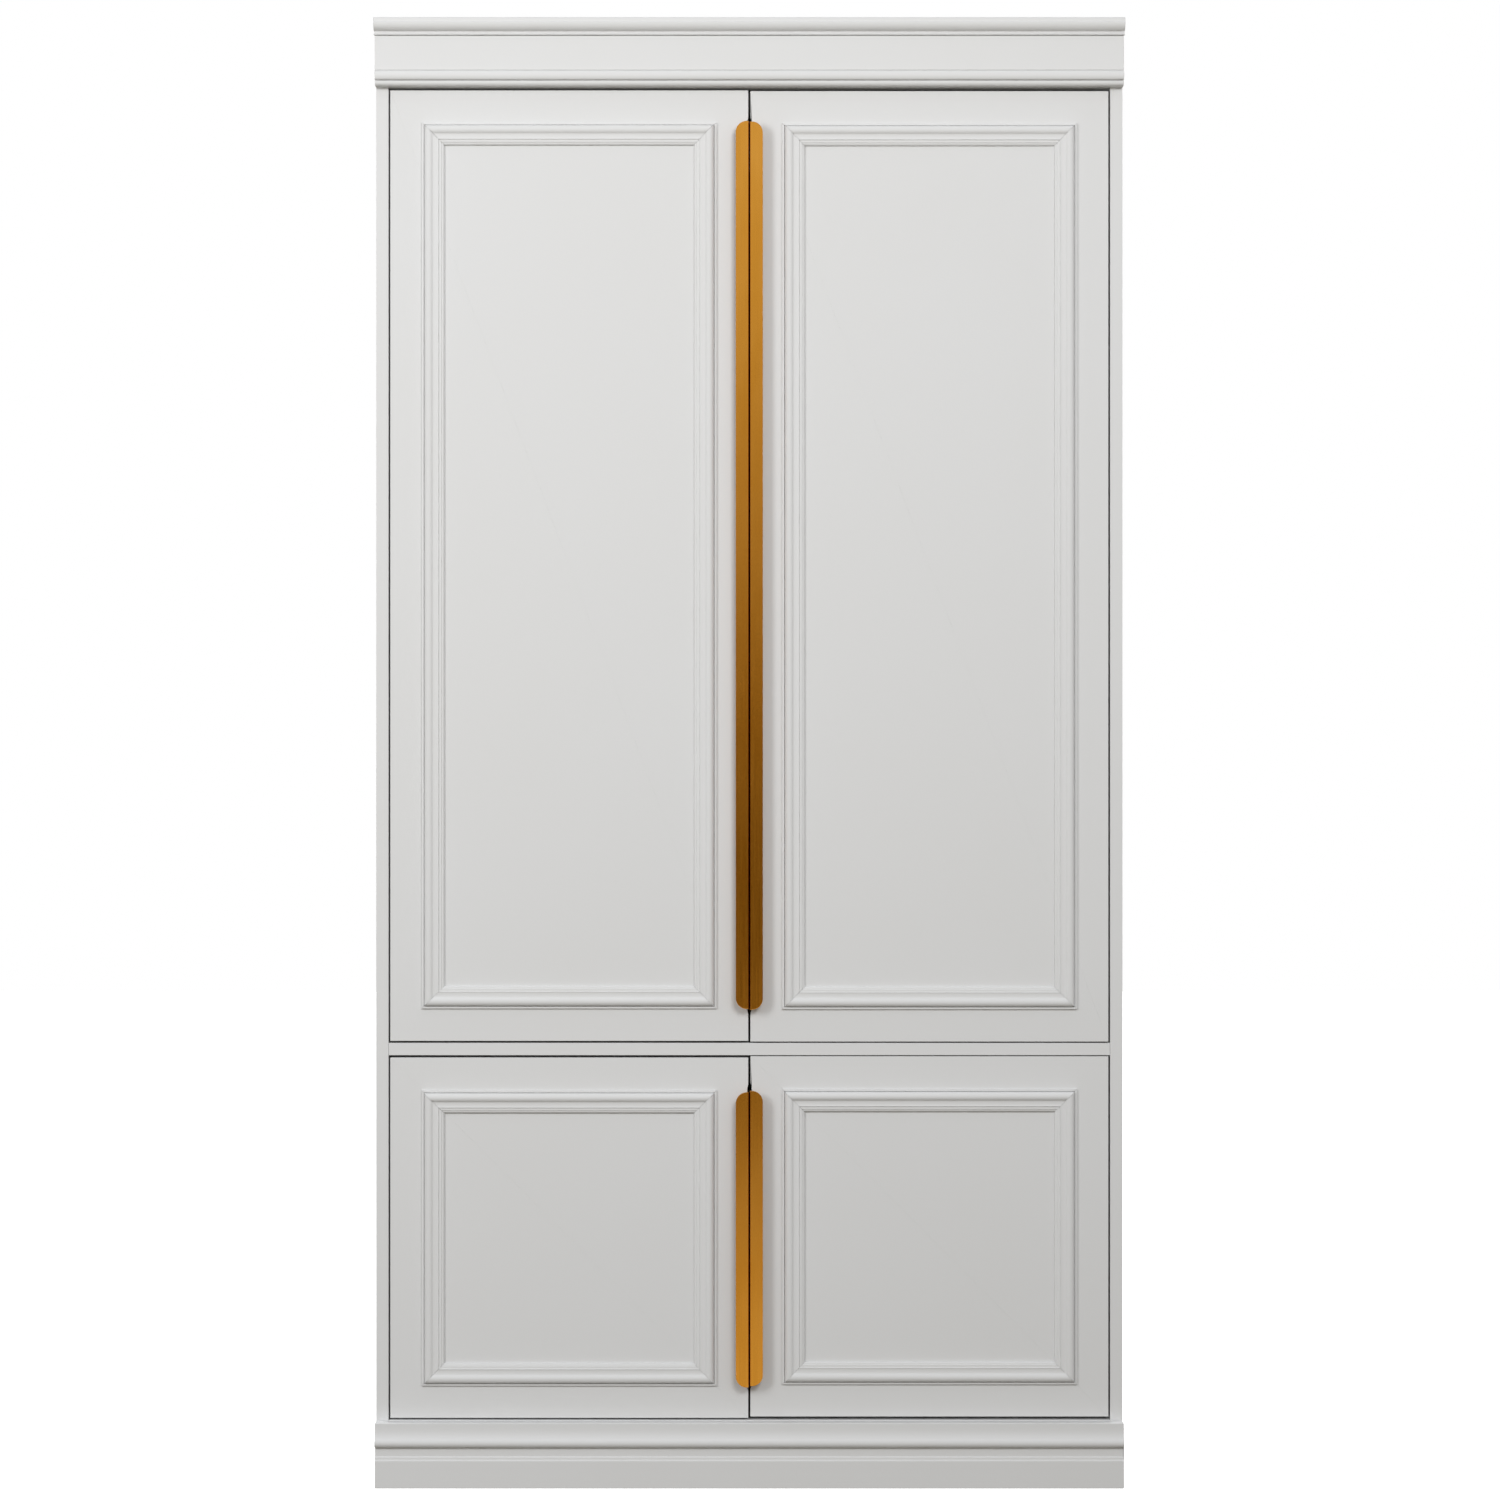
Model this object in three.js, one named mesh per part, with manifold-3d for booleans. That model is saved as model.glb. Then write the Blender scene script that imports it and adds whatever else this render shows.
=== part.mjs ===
// An armoire of painted board: a carcass with a cornice and a plinth across its front, two pairs of
// inset doors on concealed hinges, a mitred moulding frame on each door and a folded metal edge pull
// let into each meeting edge.
// Millimetres, +Z up. The front faces -Y and the origin is under the middle of the whole object.
import * as THREE from 'three';
import { mergeVertices } from 'three/addons/utils/BufferGeometryUtils.js';
import Module from 'manifold-3d';

const wasm = await Module();
wasm.setup();

// ---- Carcass sizes ----
const width = 1096; // over the side panels
const height = 2150; // floor to the top of the cornice
const depth = 410; // front edges to back edges of the boards
const board = 18;
const backBoard = 6;
const backInset = 10; // the back panels sit this far inside the back edges
const plinthHeight = 93.5;
const bottomPanelRise = 2.5; // top of the bottom panel above the plinth
const lowerOpening = 535.6; // clear height of the lower storey
const corniceHeight = 97.7; // header rail's lower edge to the top of the cornice
const topPanelDrop = 2; // top of the carcass below the top of the cornice
const shelfSetback = 60; // shelf fronts behind the carcass front
const shelfPlay = 1; // between a shelf's end and the side panel
const upperShelves = 3;
const lowerShelves = 1;
const fit = 0.3; // gap between pieces that touch

// ---- Front trim sizes ----
const trimOverhang = 0; // fascia, bottom moulding and plinth are flush with the side panels
const topOverhang = 1; // top moulding past each side panel
const topMouldingProud = 30; // its nose in front of the carcass
const topMouldingHeight = 24.5;
const bottomMouldingHeight = 21.9;
const fasciaProud = 18.3;
const plinthProud = 20; // its foot in front of the carcass

// ---- Door sizes ----
const doorThickness = 18;
const sideGap = 2.6;
const centreGap = 3;
const doorGap = 2.5; // to the middle panel
const topGap = 4; // under the cornice
const bottomGap = 4; // over the bottom panel
const hang = { upper_left: 0.5, upper_right: -0.5, lower_left: -1, lower_right: 1 }; // off level

// ---- Door moulding sizes ----
const frameSideInset = 46.6; // door's side edges to the frame's outer edge
const frameEndInset = 47.8; // its top and bottom edges to the same
const stripWidth = 33;
const lipWidth = 4;
const lipHeight = 3;
const torusWidth = 13;
const torusHeight = 9.5;
const coveWidth = 8.25;
const coveDepth = 2;
const filletWidth = 4.5;

// ---- Handle sizes ----
const handleInset = 48.7; // door's end to the handle's end
const metal = 2;
const flangeWidth = 19;
const flangeProud = 20; // outer face in front of the door
const flangeCorner = 16; // radius of the outer corners
const bendRadius = 0.5; // inside the folds
const rebateDepth = 1.6; // in the door's meeting edge
const rebateEnd = 2; // full depth past the handle's end
const rebateRunOut = 8; // then rising to nothing

// ---- Hinge sizes ----
const hingeFromEnd = 100; // door end to the centre of the nearest hinge
const pivotInset = 26; // door's hinge edge to the pin
const pinRadius = 1.5;
const eyeRadius = 3;
const armHeight = 12;
const armMetal = 2;
const neckLean = 14.5; // how far the arm's neck leans out before it leaves the cup
const neckReach = 16.5; // its furthest reach from the pin
const neckClear = 2.5; // neck's back run behind the path of the door's corner
const cupRadius = 17.5;
const cupWall = 1.5;
const cupFloor = 1;
const cupShift = 2.2; // cup's centre past the pin, away from the side panel
const cupLip = 1.2; // thickness on the door's back
const cupLipReach = 2; // past the cup's wall
const earLength = 60;
const earWidth = 18;
const earCorner = 7;
const plateLength = 48;
const plateHeight = 40;
const plateLead = 3; // plate's front edge ahead of the arm's body
const armBodyWidth = 11;
const armBodyHeight = 18;
const armBodyLength = 41;

// ---- Places worked out from the sizes ----
const frontY = (topMouldingProud - depth) / 2;
const backY = frontY + depth;
const backPanelY = backY - backInset - backBoard;
const innerWidth = width - 2 * board;
const lowerFloorZ = plinthHeight + bottomPanelRise;
const middleZ = lowerFloorZ + lowerOpening;
const upperFloorZ = middleZ + board;
const headerZ = height - corniceHeight;
const carcassTopZ = height - topPanelDrop;
const topPanelZ = carcassTopZ - board;
const trimLength = width + 2 * trimOverhang;
const topMouldingLength = width + 2 * topOverhang;
const doorWidth = (innerWidth - 2 * sideGap - centreGap) / 2;
const doors = {
  upper: { bottom: upperFloorZ + doorGap, top: headerZ - topGap, hinges: [-1, 0, 1] },
  lower: { bottom: lowerFloorZ + bottomGap, top: middleZ - doorGap, hinges: [-1, 1] },
};
const pivotDepth = doorThickness / 2; // pin in front of the door's back face
const cupDepth = pivotDepth + eyeRadius + 1 + cupFloor;

// ---- Finishes ----
function finish(color, roughness, metalness) {
  return new THREE.MeshStandardMaterial({ color, roughness, metalness });
}
const lacquer = finish(0xd9d9d7, 0.42, 0);
const backFinish = finish(0xcfcfcb, 0.6, 0);
const gold = finish(0xb9862f, 0.34, 1);
const nickel = finish(0xa8a8a6, 0.3, 1);

// ---- Shapes ----
const v2 = (x, y) => new THREE.Vector2(x, y);

// Straight run of one outline, along +Z from 0.
function run(shape, length, curveSegments = 8) {
  return new THREE.ExtrudeGeometry(shape, { depth: length, steps: 1, bevelEnabled: false, curveSegments });
}

// Outline given as points, straight between them.
function outline(points) {
  return new THREE.Shape(points.map(([x, y]) => v2(x, y)));
}

// Constant-thickness ribbon along a bent centre line, with mitred corners.
function ribbon(path, thickness) {
  const points = path.map(([x, y]) => v2(x, y));
  const side = (sign) => points.map((point, i) => {
    const before = points[Math.max(i - 1, 0)];
    const after = points[Math.min(i + 1, points.length - 1)];
    const into = i > 0 ? point.clone().sub(before).normalize() : after.clone().sub(point).normalize();
    const out = i < points.length - 1 ? after.clone().sub(point).normalize() : into;
    const normal = v2(-into.y - out.y, into.x + out.x).normalize();
    const reach = thickness / 2 / normal.dot(v2(-into.y, into.x));
    return point.clone().addScaledVector(normal, sign * reach);
  });
  return new THREE.Shape([...side(1), ...side(-1).reverse()]);
}

function roundedRectangle(halfX, halfY, radius) {
  const shape = new THREE.Shape();
  shape.absarc(halfX - radius, halfY - radius, radius, 0, Math.PI / 2);
  shape.absarc(radius - halfX, halfY - radius, radius, Math.PI / 2, Math.PI);
  shape.absarc(radius - halfX, radius - halfY, radius, Math.PI, 1.5 * Math.PI);
  shape.absarc(halfX - radius, radius - halfY, radius, 1.5 * Math.PI, 2 * Math.PI);
  return shape;
}

// Box between two corners.
function block([x0, y0, z0], [x1, y1, z1]) {
  const geometry = new THREE.BoxGeometry(x1 - x0, y1 - y0, z1 - z0);
  return geometry.translate((x0 + x1) / 2, (y0 + y1) / 2, (z0 + z1) / 2);
}

// ---- Joining and cutting ----
function toSolid(geometry) {
  const bare = new THREE.BufferGeometry();
  bare.setAttribute('position', geometry.getAttribute('position'));
  bare.setIndex(geometry.getIndex());
  const merged = mergeVertices(bare, 1e-4);
  const vertProperties = new Float32Array(merged.getAttribute('position').array);
  const triVerts = new Uint32Array(merged.getIndex().array);
  return new wasm.Manifold(new wasm.Mesh({ numProp: 3, vertProperties, triVerts }));
}

function toGeometry(solid) {
  const mesh = solid.getMesh();
  const geometry = new THREE.BufferGeometry();
  geometry.setAttribute('position', new THREE.BufferAttribute(mesh.vertProperties, 3));
  geometry.setIndex(new THREE.BufferAttribute(mesh.triVerts, 1));
  geometry.computeVertexNormals();
  return geometry;
}

const armoire = new THREE.Group();

function addPiece(parent, name, geometry, material) {
  const mesh = new THREE.Mesh(geometry, material);
  mesh.name = name;
  parent.add(mesh);
  return mesh;
}

// ---- Carcass boards ----
function addBoards() {
  const halfInner = innerWidth / 2;
  const boardBetween = (name, z) => {
    const geometry = block([fit - halfInner, frontY, z], [halfInner - fit, backY, z + board]);
    addPiece(armoire, name, geometry, lacquer);
  };
  for (const [side, sign] of [['left', -1], ['right', 1]]) {
    const geometry = new THREE.BoxGeometry(board, depth, carcassTopZ);
    const panel = addPiece(armoire, `side_panel_${side}`, geometry, lacquer);
    panel.position.set(sign * (width - board) / 2, frontY + depth / 2, carcassTopZ / 2);
  }
  boardBetween('bottom_panel', lowerFloorZ - board);
  boardBetween('middle_panel', middleZ);
  boardBetween('top_panel', topPanelZ);
  const railEnd = [halfInner - fit, frontY + board, topPanelZ - fit];
  addPiece(armoire, 'header_rail', block([fit - halfInner, frontY, headerZ], railEnd), lacquer);
}

function addBackPanels() {
  const half = innerWidth / 2 - fit;
  for (const [name, floor, ceiling] of [
    ['back_panel_lower', lowerFloorZ, middleZ],
    ['back_panel_upper', upperFloorZ, topPanelZ],
  ]) {
    const low = [-half, backPanelY, floor + fit];
    const high = [half, backPanelY + backBoard, ceiling - fit];
    addPiece(armoire, name, block(low, high), backFinish);
  }
}

// Shelves share a storey's clear height equally.
function addShelves(storey, count, floor, ceiling) {
  const half = innerWidth / 2 - shelfPlay;
  const bay = (ceiling - floor - count * board) / (count + 1);
  for (let i = 1; i <= count; i++) {
    const z = floor + i * bay + (i - 1) * board;
    const low = [-half, frontY + shelfSetback, z];
    const high = [half, backPanelY - fit, z + board];
    addPiece(armoire, `shelf_${storey}_${i}`, block(low, high), lacquer);
  }
}

// ---- Front trim: outlines give how far a point stands proud and its height ----
function addTrim(name, shape, length, z) {
  const geometry = run(shape, length);
  geometry.translate(0, 0, -length / 2);
  const toRoom = new THREE.Matrix4().makeBasis(
    new THREE.Vector3(0, -1, 0),
    new THREE.Vector3(0, 0, 1),
    new THREE.Vector3(-1, 0, 0),
  );
  geometry.applyMatrix4(toRoom);
  addPiece(armoire, name, geometry, lacquer).position.set(0, frontY - fit, z);
}

// A sloped fillet, a quarter-round that sweeps out to the nose, and a square band above it.
function topMouldingOutline() {
  const nose = topMouldingProud - fit;
  const filletHeight = 4;
  const ovoloFoot = 5.5;
  const ovoloTop = 17;
  const bandBack = 1.5; // the band above stands this far behind the nose
  const bandCorner = 2.5;
  const ovoloProud = nose - 10.7;
  const band = nose - bandBack;
  const shape = new THREE.Shape();
  shape.moveTo(0, 0);
  shape.lineTo(ovoloProud + 2.7, 0);
  shape.lineTo(ovoloProud + 2.7, 1);
  shape.lineTo(ovoloProud, filletHeight);
  shape.lineTo(ovoloProud, ovoloFoot);
  shape.absellipse(ovoloProud, ovoloTop, nose - ovoloProud, ovoloTop - ovoloFoot, -Math.PI / 2, 0);
  shape.lineTo(band, ovoloTop + 1);
  shape.lineTo(band, topMouldingHeight - bandCorner);
  shape.absarc(band - bandCorner, topMouldingHeight - bandCorner, bandCorner, 0, Math.PI / 2);
  shape.lineTo(0, topMouldingHeight);
  return shape;
}

// A small bead rounded under, and a larger half-round bead above it.
function bottomMouldingOutline() {
  const smallProud = 17.3;
  const smallRadius = 5;
  const smallTop = 8;
  const largeProud = 18.3;
  const largeBulge = 3.6;
  const largeTop = bottomMouldingHeight - 0.8;
  const largeHalf = (largeTop - smallTop) / 2;
  const shape = new THREE.Shape();
  shape.moveTo(0, 0);
  shape.lineTo(smallProud - smallRadius, 0);
  shape.absarc(smallProud - smallRadius, smallRadius, smallRadius, -Math.PI / 2, 0);
  shape.lineTo(smallProud, smallTop);
  shape.lineTo(largeProud, smallTop);
  shape.absellipse(largeProud, smallTop + largeHalf, largeBulge, largeHalf, -Math.PI / 2, Math.PI / 2);
  shape.lineTo(largeProud, bottomMouldingHeight);
  shape.lineTo(0, bottomMouldingHeight);
  return shape;
}

// A foot with two small steps, a flat, a nose and a cove that sweeps back up to the top.
function plinthOutline() {
  const foot = plinthProud - fit;
  const stepBack = 1.75;
  const stepHeights = [40.5, 45.2];
  const stepSlope = 1;
  const noseBottom = 59;
  const noseTop = 74;
  const coveTop = 88;
  const noseProud = foot + 4.5;
  const topProud = foot - 2;
  const noseHalf = (noseTop - noseBottom) / 2;
  const noseFoot = noseProud - noseHalf;
  const shape = new THREE.Shape();
  shape.moveTo(0, 0);
  shape.lineTo(foot, 0);
  stepHeights.forEach((z, i) => {
    shape.lineTo(foot - i * stepBack, z);
    shape.lineTo(foot - (i + 1) * stepBack, z + stepSlope);
  });
  shape.lineTo(foot - 2 * stepBack, noseBottom);
  shape.lineTo(noseFoot, noseBottom);
  shape.absarc(noseFoot, noseBottom + noseHalf, noseHalf, -Math.PI / 2, Math.PI / 4);
  const end = v2(noseFoot + noseHalf * Math.SQRT1_2, noseBottom + noseHalf * (1 + Math.SQRT1_2));
  shape.quadraticCurveTo(topProud, end.y + end.x - topProud, topProud, coveTop);
  shape.lineTo(topProud, plinthHeight);
  shape.lineTo(0, plinthHeight);
  return shape;
}

function addFrontTrim() {
  const fasciaZ = headerZ + bottomMouldingHeight + fit;
  const fasciaHeight = height - topMouldingHeight - fit - fasciaZ;
  const fascia = outline([[0, 0], [fasciaProud, 0], [fasciaProud, fasciaHeight], [0, fasciaHeight]]);
  addTrim('cornice_bottom_moulding', bottomMouldingOutline(), trimLength, headerZ);
  addTrim('cornice_fascia', fascia, trimLength, fasciaZ);
  addTrim('cornice_top_moulding', topMouldingOutline(), topMouldingLength, height - topMouldingHeight);
  addTrim('plinth_board', plinthOutline(), trimLength, 0);
}

// ---- Hinges: pivot at the origin, side panel towards -X, cabinet towards +Y ----
function pinRod(radius, length) {
  return new THREE.CylinderGeometry(radius, radius, length, 20).rotateX(Math.PI / 2);
}

function hingeArmGeometry() {
  const sideFace = -(pivotInset + sideGap);
  const sweep = Math.hypot(pivotInset, doorThickness - pivotDepth); // door's corner about the pin
  const backRun = sweep + neckClear;
  const mouth = pivotDepth + fit + cupLip;
  const upright = mouth + 2 * armMetal; // from here the neck runs straight back
  const turns = [[neckLean, mouth - armMetal / 4], [neckReach, upright], [neckReach, backRun]];
  const neck = ribbon([[0, 0], ...turns, [sideFace + armBodyWidth, backRun]], armMetal);
  const plateX = sideFace + fit;
  const plateFace = plateX + armMetal;
  const bodyY = backRun - armMetal / 2;
  const plateY = bodyY - plateLead;
  const plateHalf = plateHeight / 2;
  const plate = block([plateX, plateY, -plateHalf], [plateFace, plateY + plateLength, plateHalf]);
  const bodyHalf = armBodyHeight / 2;
  const bodyEnd = [plateFace + armBodyWidth, bodyY + armBodyLength, bodyHalf];
  const body = block([plateX + armMetal / 2, bodyY, -bodyHalf], bodyEnd);
  return toGeometry(
    toSolid(run(neck, armHeight).translate(0, 0, -armHeight / 2))
      .add(toSolid(pinRod(eyeRadius, armHeight)))
      .subtract(toSolid(pinRod(pinRadius + fit, armHeight + 2)))
      .add(toSolid(body))
      .add(toSolid(plate)),
  );
}

function hingeCupGeometry() {
  const boreRadius = cupRadius - cupWall;
  const face = pivotDepth;
  const lipTop = face + fit + cupLip;
  const floorY = face - cupDepth;
  const cup = new THREE.LatheGeometry(
    [
      v2(0, floorY),
      v2(cupRadius, floorY),
      v2(cupRadius, face + fit),
      v2(cupRadius + cupLipReach, face + fit),
      v2(cupRadius + cupLipReach, lipTop),
      v2(boreRadius, lipTop),
      v2(boreRadius, floorY + cupFloor),
      v2(0, floorY + cupFloor),
    ],
    40,
  );
  const ears = run(roundedRectangle(earWidth / 2, earLength / 2, earCorner), cupLip, 6);
  ears.rotateX(Math.PI / 2).translate(0, lipTop, 0);
  const boreLength = cupDepth + 2 * cupLip; // out past the lip
  const bore = new THREE.CylinderGeometry(boreRadius, boreRadius, boreLength, 40);
  bore.translate(0, floorY + cupFloor + boreLength / 2, 0);
  const pinLength = 2 * (Math.sqrt(boreRadius ** 2 - cupShift ** 2) + cupWall / 2);
  return toGeometry(
    toSolid(cup)
      .add(toSolid(ears))
      .subtract(toSolid(bore))
      .translate([cupShift, 0, 0])
      .add(toSolid(pinRod(pinRadius, pinLength))),
  );
}

// ---- Doors: local origin at the middle of the front face, hinge edge towards -X ----
const halfDoor = doorWidth / 2;
const pivot = v2(pivotInset - halfDoor, doorThickness - pivotDepth);

function hingeHeights(door) {
  const reach = (door.top - door.bottom) / 2 - hingeFromEnd;
  return door.hinges.map((place) => place * reach);
}

// A board with a blind bore for each hinge cup and a rebate in its meeting edge for the handle.
function doorPanelGeometry(door) {
  const half = (door.top - door.bottom) / 2;
  let panel = toSolid(block([-halfDoor, 0, -half], [halfDoor, doorThickness, half]));
  for (const z of hingeHeights(door)) {
    const deep = cupDepth + fit;
    const bore = new THREE.CylinderGeometry(cupRadius + fit, cupRadius + fit, deep + 1, 40);
    bore.translate(pivot.x + cupShift, doorThickness - deep / 2 + 0.5, z);
    panel = panel.subtract(toSolid(bore));
  }
  const straight = half - handleInset + rebateEnd;
  const end = straight + rebateRunOut;
  const rebate = run(
    outline([
      [halfDoor + 1, -end],
      [halfDoor + 1, end],
      [halfDoor, end],
      [halfDoor - rebateDepth, straight],
      [halfDoor - rebateDepth, -straight],
      [halfDoor, -end],
    ]),
    doorThickness + 2,
  );
  rebate.rotateX(Math.PI / 2).translate(0, doorThickness + 1, 0);
  return toGeometry(panel.subtract(toSolid(rebate)));
}

// Section of the applied moulding: across the strip from its outer edge, and up from the door.
function mouldingOutline() {
  const torusEnd = lipWidth + torusWidth;
  const torusFoot = lipHeight + 0.8;
  const coveEnd = torusEnd + coveWidth;
  const coveTop = torusFoot + coveDepth;
  const shape = new THREE.Shape();
  shape.moveTo(0, 0);
  shape.lineTo(0, lipHeight);
  shape.lineTo(lipWidth, lipHeight);
  shape.lineTo(lipWidth, torusFoot);
  const torusMiddle = lipWidth + torusWidth / 2;
  shape.absellipse(torusMiddle, torusFoot, torusWidth / 2, torusHeight - torusFoot, Math.PI, 0, true);
  shape.absellipse(torusEnd, coveTop, coveWidth, coveDepth, 1.5 * Math.PI, 2 * Math.PI);
  shape.lineTo(coveEnd, coveTop - 1);
  shape.lineTo(coveEnd + filletWidth, coveTop - 1);
  shape.lineTo(coveEnd + filletWidth, lipHeight);
  shape.lineTo(stripWidth, lipHeight);
  shape.lineTo(stripWidth, 0);
  return shape;
}

// One strip along the bottom of a frame, its ends cut at 45 degrees across the section.
function mouldingStripGeometry(length, acrossFrame) {
  const geometry = run(mouldingOutline(), length, 10);
  const position = geometry.getAttribute('position');
  const back = fit / Math.SQRT2; // half the gap at a mitre, measured along the strip
  for (let i = 0; i < position.count; i++) {
    const cut = position.getX(i) + back;
    position.setZ(i, position.getZ(i) < length / 2 ? cut : length - cut);
  }
  geometry.translate(-acrossFrame / 2, fit, -length / 2);
  const toDoor = new THREE.Matrix4().makeBasis(
    new THREE.Vector3(0, 0, 1),
    new THREE.Vector3(0, -1, 0),
    new THREE.Vector3(1, 0, 0),
  );
  return geometry.applyMatrix4(toDoor);
}

function addMouldings(group, key, door) {
  const frameWidth = doorWidth - 2 * frameSideInset;
  const frameHeight = door.top - door.bottom - 2 * frameEndInset;
  const level = mouldingStripGeometry(frameWidth, frameHeight);
  const upright = mouldingStripGeometry(frameHeight, frameWidth);
  [['bottom', level], ['hinge_side', upright], ['top', level], ['handle_side', upright]].forEach(
    ([place, geometry], quarter) => {
      const strip = addPiece(group, `moulding_${key}_${place}`, geometry, lacquer);
      strip.rotation.y = quarter * Math.PI / 2;
    },
  );
}

// A folded strip: a flange over the door's face, a leg in the rebate and a tab behind the door.
function handleGeometry(length) {
  const legInner = fit - rebateDepth;
  const legOuter = legInner + metal;
  const flangeFront = -flangeProud;
  const flangeBack = metal - flangeProud;
  const tabFront = doorThickness + fit;
  const tabBack = tabFront + metal;
  const edge = legOuter - flangeWidth;
  const outer = bendRadius + metal;
  const section = new THREE.Shape();
  section.moveTo(edge, flangeBack);
  section.lineTo(edge, flangeFront);
  section.absarc(legOuter - outer, flangeFront + outer, outer, -Math.PI / 2, 0);
  section.absarc(legOuter - outer, tabBack - outer, outer, 0, Math.PI / 2);
  section.lineTo(edge, tabBack);
  section.lineTo(edge, tabFront);
  section.absarc(legInner - bendRadius, tabFront - bendRadius, bendRadius, Math.PI / 2, 0, true);
  section.absarc(legInner - bendRadius, flangeBack + bendRadius, bendRadius, 0, -Math.PI / 2, true);
  const half = length / 2;
  const face = new THREE.Shape();
  face.moveTo(legOuter + 1, -half);
  face.lineTo(legOuter + 1, half);
  face.absarc(edge + flangeCorner, half - flangeCorner, flangeCorner, Math.PI / 2, Math.PI);
  face.absarc(edge + flangeCorner, flangeCorner - half, flangeCorner, Math.PI, 1.5 * Math.PI);
  const through = run(face, tabBack - flangeFront + 2, 10);
  through.rotateX(Math.PI / 2).translate(0, tabBack + 1, 0);
  const folded = run(section, length + 2, 4).translate(0, 0, -half - 1);
  return toGeometry(toSolid(folded).intersect(toSolid(through)));
}

const armGeometry = hingeArmGeometry();
const cupGeometry = hingeCupGeometry();

// Left doors are built as described; a half turn about Y makes the right ones.
function addDoor(storey, side) {
  const key = `${storey}_${side}`;
  const door = doors[storey];
  const sign = side === 'left' ? -1 : 1;
  const centreZ = (door.bottom + door.top) / 2 + hang[key];
  const place = (group) => {
    group.position.set(sign * (centreGap / 2 + halfDoor), frontY, centreZ);
    group.rotation.y = side === 'left' ? 0 : Math.PI;
    armoire.add(group);
    return group;
  };
  const leaf = place(new THREE.Group());
  const fixed = place(new THREE.Group());
  addPiece(leaf, `door_${key}`, doorPanelGeometry(door), lacquer);
  addMouldings(leaf, key, door);
  const handleLength = door.top - door.bottom - 2 * handleInset;
  const handle = addPiece(leaf, `handle_${key}`, handleGeometry(handleLength), gold);
  handle.position.x = halfDoor;
  hingeHeights(door).forEach((z, i) => {
    addPiece(leaf, `hinge_cup_${key}_${i + 1}`, cupGeometry, nickel).position.set(pivot.x, pivot.y, z);
    addPiece(fixed, `hinge_arm_${key}_${i + 1}`, armGeometry, nickel).position.set(pivot.x, pivot.y, z);
  });
}

addBoards();
addBackPanels();
addShelves('lower', lowerShelves, lowerFloorZ, middleZ);
addShelves('upper', upperShelves, upperFloorZ, topPanelZ);
addFrontTrim();
for (const storey of ['upper', 'lower']) {
  for (const side of ['left', 'right']) {
    addDoor(storey, side);
  }
}

export default armoire;
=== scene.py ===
# %% [markdown]
# # A painted armoire
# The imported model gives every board, door, handle and hinge its size and place. This script dresses
# it: it rebuilds what the eye reads closely (mouldings, eased boards, folded handles) as smooth
# surfaces in the same places, adds the small hardware, and gives each part a finish made of nodes.
# Shapes are worked out in millimetres, because that is how a cabinet maker thinks, and are turned
# into metres once, when the mesh is made.

import math

import bmesh
import bpy
import numpy as np
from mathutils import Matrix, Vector
from mathutils.geometry import tessellate_polygon


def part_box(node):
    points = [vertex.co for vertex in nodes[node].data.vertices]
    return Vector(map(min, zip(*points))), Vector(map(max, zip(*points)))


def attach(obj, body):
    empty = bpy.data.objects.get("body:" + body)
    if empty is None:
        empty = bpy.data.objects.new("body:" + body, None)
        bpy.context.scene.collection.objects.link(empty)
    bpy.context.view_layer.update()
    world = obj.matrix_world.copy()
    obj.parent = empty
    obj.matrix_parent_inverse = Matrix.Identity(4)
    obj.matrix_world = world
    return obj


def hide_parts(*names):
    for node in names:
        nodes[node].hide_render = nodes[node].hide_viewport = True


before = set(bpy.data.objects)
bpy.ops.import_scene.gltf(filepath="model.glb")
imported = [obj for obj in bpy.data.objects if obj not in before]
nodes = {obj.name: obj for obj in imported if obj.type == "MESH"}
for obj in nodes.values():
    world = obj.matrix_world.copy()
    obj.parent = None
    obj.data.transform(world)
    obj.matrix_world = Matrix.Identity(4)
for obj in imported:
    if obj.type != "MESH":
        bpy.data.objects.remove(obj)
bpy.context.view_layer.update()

# %% [markdown]
# ## Reading the frame in millimetres
# A node's box is all that is needed to place what is built on it, so one small helper turns the
# corners into arrays of millimetres. The storeys and sides are named once, and loops use them.

# %% Boxes and names
MM = 0.001
STOREYS = ("upper", "lower")
SIDES = {"left": 1, "right": -1}  # which way is from the hinges to the handle
DOORS = [(storey, side) for storey in STOREYS for side in SIDES]


def corners(node):
    """Lowest and highest corner of a CAD node, in millimetres."""
    low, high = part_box(node)
    return np.array(low) / MM, np.array(high) / MM


carcass_left, _ = corners("side_panel_left")
_, carcass_right = corners("side_panel_right")
front_y = carcass_left[1]
print("carcass width", round(carcass_right[0] - carcass_left[0], 1), "front plane", round(front_y, 1))

# %% [markdown]
# ## From points to a mesh
# Every new piece is a grid of points: one direction runs round a section, the other runs along the
# piece. The grid could be joined point by point in a loop, but whole index arrays do it at once.
# Broad flat faces are shaded flat and the narrow faces of rounded edges are shaded smooth, so a
# board stays optically flat right up to its eased edge. Where two faces meet at a real corner, such
# as a mitre, the edge is marked sharp, or the smooth shading would bend round it.

# %% Grid helpers
FLAT_WIDTH = 2.0  # a face that is wider than this is a flat of the board
SHARP_TURN = 40.0  # degrees between two faces that make a real corner


def grid_faces(rows, columns):
    """Quads joining each grid point to its neighbours; the columns close on themselves."""
    row = np.arange(rows - 1)[:, None] * columns
    here = np.arange(columns)[None, :]
    there = (here + 1) % columns
    quads = np.stack([row + here, row + there, row + columns + there, row + columns + here], axis=-1)
    return quads.reshape(-1, 4).tolist()


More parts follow.
